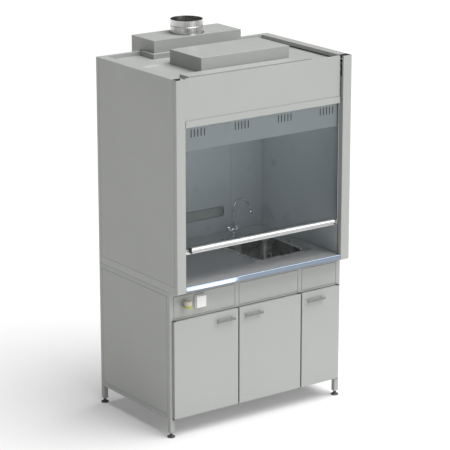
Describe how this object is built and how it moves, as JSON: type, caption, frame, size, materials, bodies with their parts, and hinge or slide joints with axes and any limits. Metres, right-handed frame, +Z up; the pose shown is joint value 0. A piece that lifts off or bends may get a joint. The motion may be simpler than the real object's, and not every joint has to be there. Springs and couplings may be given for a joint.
{
  "type": "fume hood",
  "caption": "Ducted laboratory fume hood with a sliding glass sash, a sink with a mixer, services and a base cabinet with hinged doors.",
  "frame": {"origin": "under the middle of the whole object, on the floor", "axes": "+Z up, +X to the user's right when facing the sash, +Y to the back; the sash and doors face -Y"},
  "size_m": [1.298, 0.944, 2.366],
  "materials": {
    "grey_paint": "light grey powder coat, satin",
    "frame_paint": "light grey powder coat on square tube, satin",
    "liner_paint": "chemical-resistant grey coating, satin",
    "worktop_stone": "dark grey solid slab, low gloss",
    "stainless_steel": "stainless steel, satin",
    "chrome": "polished chrome plating",
    "aluminium": "anodised extrusion, satin",
    "tinted_glass": "grey-blue tinted safety glass",
    "opal_glass": "opal diffuser",
    "handle_grey": "mid grey, matte",
    "dark_plastic": "dark grey, matte",
    "white_plastic": "white, slight gloss",
    "beige_plastic": "beige, satin",
    "green_plastic": "yellow-green, slight gloss",
    "cast_iron": "cast, painted black",
    "cable_steel": "stranded steel wire",
    "waste_plastic": "light grey polypropylene"
  },
  "bodies": {
    "hood": {"back_wall": "grey_paint", "baffle": "liner_paint", "base_frame_left": "frame_paint", "base_frame_right": "frame_paint", "base_front_frame": "frame_paint", "base_liner": "liner_paint", "base_panel_left": "grey_paint", "base_panel_right": "grey_paint", "bulkhead": "liner_paint", "column_left": "grey_paint", "column_right": "grey_paint", "door_left_hinge": "dark_plastic", "door_middle_hinge": "dark_plastic", "door_right_hinge": "dark_plastic", "duct_spigot": "stainless_steel", "exhaust_plenum": "grey_paint", "fascia_left": "grey_paint", "fascia_middle": "grey_paint", "fascia_right": "grey_paint", "faucet_body": "chrome", "header_panel": "grey_paint", "lamp_cover": "opal_glass", "lamp_housing": "grey_paint", "lining_left": "liner_paint", "lining_right": "liner_paint", "roof_panel": "grey_paint", "sash_cable_left": "cable_steel", "sash_cable_right": "cable_steel", "service_valve_body": "beige_plastic", "side_wall_left": "grey_paint", "side_wall_right": "grey_paint", "sink": "stainless_steel", "sink_waste": "waste_plastic", "socket_body": "white_plastic", "weight_cable_left": "cable_steel", "weight_cable_right": "cable_steel", "worktop": "worktop_stone", "worktop_trim": "stainless_steel"},
    "sash": {"sash_frame": "aluminium", "sash_glass": "tinted_glass", "sash_handle": "aluminium"},
    "counterweight_left": {"counterweight_left": "cast_iron"},
    "counterweight_right": {"counterweight_right": "cast_iron"},
    "pulley_left": {"pulley_left": "dark_plastic"},
    "pulley_right": {"pulley_right": "dark_plastic"},
    "door_left": {"door_left": "grey_paint", "door_left_handle": "handle_grey"},
    "door_middle": {"door_middle": "grey_paint", "door_middle_handle": "handle_grey"},
    "door_right": {"door_right": "grey_paint", "door_right_handle": "handle_grey"},
    "faucet_spout": {"faucet_spout": "chrome"},
    "faucet_handle_hot": {"faucet_handle_hot": "chrome"},
    "faucet_handle_cold": {"faucet_handle_cold": "chrome"},
    "service_valve_knob": {"service_valve_knob": "green_plastic"},
    "socket_lid": {"socket_lid": "white_plastic"},
    "foot_front_left": {"foot_front_left": "dark_plastic"},
    "foot_front_right": {"foot_front_right": "dark_plastic"},
    "foot_rear_left": {"foot_rear_left": "dark_plastic"},
    "foot_rear_right": {"foot_rear_right": "dark_plastic"}
  },
  "joints": [
    {"name": "sash_slide", "type": "slide", "parent": "hood", "child": "sash", "axis": [0, 0, 1], "range_m": [-0.187, 0.55], "deforming": ["sash_cable_left", "sash_cable_right"]},
    {"name": "counterweight_left_slide", "type": "slide", "parent": "hood", "child": "counterweight_left", "axis": [0, 0, 1], "range_m": [-0.55, 0.187], "deforming": ["weight_cable_left"]},
    {"name": "pulley_left_turn", "type": "hinge", "parent": "hood", "child": "pulley_left", "pos_m": [-0.5975, -0.4005, 2.12], "axis": [1, 0, 0], "range_deg": [-901, 307]},
    {"name": "counterweight_right_slide", "type": "slide", "parent": "hood", "child": "counterweight_right", "axis": [0, 0, 1], "range_m": [-0.55, 0.187], "deforming": ["weight_cable_right"]},
    {"name": "pulley_right_turn", "type": "hinge", "parent": "hood", "child": "pulley_right", "pos_m": [0.5975, -0.4005, 2.12], "axis": [1, 0, 0], "range_deg": [-901, 307]},
    {"name": "door_left_hinge", "type": "hinge", "parent": "hood", "child": "door_left", "pos_m": [-0.615, -0.3985, 0.119], "axis": [0, 0, -1], "range_deg": [0, 105]},
    {"name": "door_middle_hinge", "type": "hinge", "parent": "hood", "child": "door_middle", "pos_m": [0.3165, -0.3985, 0.119], "axis": [0, 0, 1], "range_deg": [0, 90]},
    {"name": "door_right_hinge", "type": "hinge", "parent": "hood", "child": "door_right", "pos_m": [0.615, -0.3985, 0.119], "axis": [0, 0, 1], "range_deg": [0, 105]},
    {"name": "faucet_spout_swivel", "type": "hinge", "parent": "hood", "child": "faucet_spout", "pos_m": [0.288, 0.257, 1.0023], "axis": [0, 0, 1], "range_deg": [-90, 90]},
    {"name": "faucet_handle_hot_turn", "type": "hinge", "parent": "hood", "child": "faucet_handle_hot", "pos_m": [0.26092, 0.257, 0.99908], "axis": [-0.7071, 0, 0.7071], "range_deg": [0, 180]},
    {"name": "faucet_handle_cold_turn", "type": "hinge", "parent": "hood", "child": "faucet_handle_cold", "pos_m": [0.31508, 0.257, 0.99908], "axis": [0.7071, 0, 0.7071], "range_deg": [0, 180]},
    {"name": "service_valve_turn", "type": "hinge", "parent": "hood", "child": "service_valve_knob", "pos_m": [-0.5305, -0.4173, 0.8242], "axis": [0, 0, -1], "range_deg": [0, 90]},
    {"name": "socket_lid_hinge", "type": "hinge", "parent": "hood", "child": "socket_lid", "pos_m": [-0.4257, -0.4066, 0.859], "axis": [-1, 0, 0], "range_deg": [0, 110], "stiffness_Nm_per_rad": 0.01, "springref_deg": -17.19},
    {"name": "foot_front_left_screw", "type": "slide", "parent": "hood", "child": "foot_front_left", "axis": [0, 0, -1], "range_m": [0, 0.02]},
    {"name": "foot_front_right_screw", "type": "slide", "parent": "hood", "child": "foot_front_right", "axis": [0, 0, -1], "range_m": [0, 0.02]},
    {"name": "foot_rear_left_screw", "type": "slide", "parent": "hood", "child": "foot_rear_left", "axis": [0, 0, -1], "range_m": [0, 0.02]},
    {"name": "foot_rear_right_screw", "type": "slide", "parent": "hood", "child": "foot_rear_right", "axis": [0, 0, -1], "range_m": [0, 0.02]}
  ],
  "couplings": [
    {"joint": "counterweight_left_slide", "follows": "sash_slide", "ratio": -1},
    {"joint": "pulley_left_turn", "follows": "sash_slide", "rad_per_m": -28.571},
    {"joint": "counterweight_right_slide", "follows": "sash_slide", "ratio": -1},
    {"joint": "pulley_right_turn", "follows": "sash_slide", "rad_per_m": -28.571}
  ]
}
